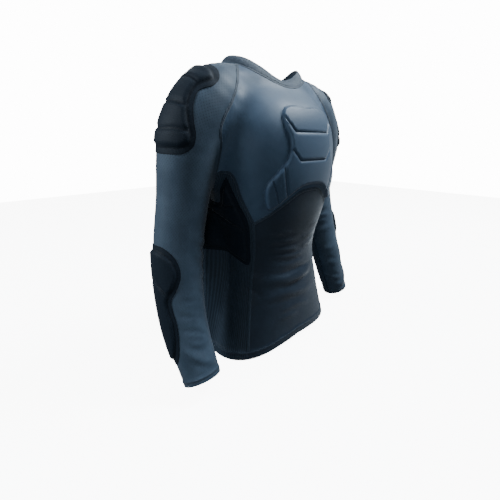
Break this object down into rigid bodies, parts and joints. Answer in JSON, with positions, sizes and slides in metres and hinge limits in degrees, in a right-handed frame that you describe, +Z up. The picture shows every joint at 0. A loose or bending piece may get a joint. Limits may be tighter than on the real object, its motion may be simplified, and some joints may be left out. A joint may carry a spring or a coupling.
{
  "type": "padded compression shirt",
  "caption": "Long-sleeved padded compression shirt, filled out as worn, with raised foam pads on chest, ribs, shoulders and elbows.",
  "frame": {"origin": "on the middle line of the neck opening, level with its highest edge, where the wearer's shoulders carry the shirt", "axes": "+X to the wearer's left, -Y to the front, +Z up"},
  "size_m": [0.6534, 0.2961, 0.689],
  "materials": {
    "chest_cloth": "smooth stretch knit with a soft sheen, grey-blue",
    "chest_pad_cloth": "smooth stretch knit over foam, grey-blue, with sunk stitched grooves",
    "sleeve_cloth": "fine dotted stretch knit, mid navy",
    "body_cloth": "smooth stretch knit, dark navy",
    "side_mesh": "finely ribbed mesh knit, near-black navy",
    "pad_cloth": "knit over foam, dark navy, with a flat stitched rim",
    "collar_rib": "folded rib band, navy"
  },
  "bodies": {
    "root": {"collar": "collar_rib", "front_chest": "chest_cloth", "chest_pad": "chest_pad_cloth", "front_belly": "body_cloth", "back": "body_cloth", "side_left": "side_mesh", "side_right": "side_mesh", "rib_pad_left": "pad_cloth", "rib_pad_right": "pad_cloth", "sleeve_left": "sleeve_cloth", "sleeve_right": "sleeve_cloth", "shoulder_pad_left": "pad_cloth", "shoulder_pad_right": "pad_cloth", "elbow_pad_left": "pad_cloth", "elbow_pad_right": "pad_cloth"}
  },
  "joints": []
}
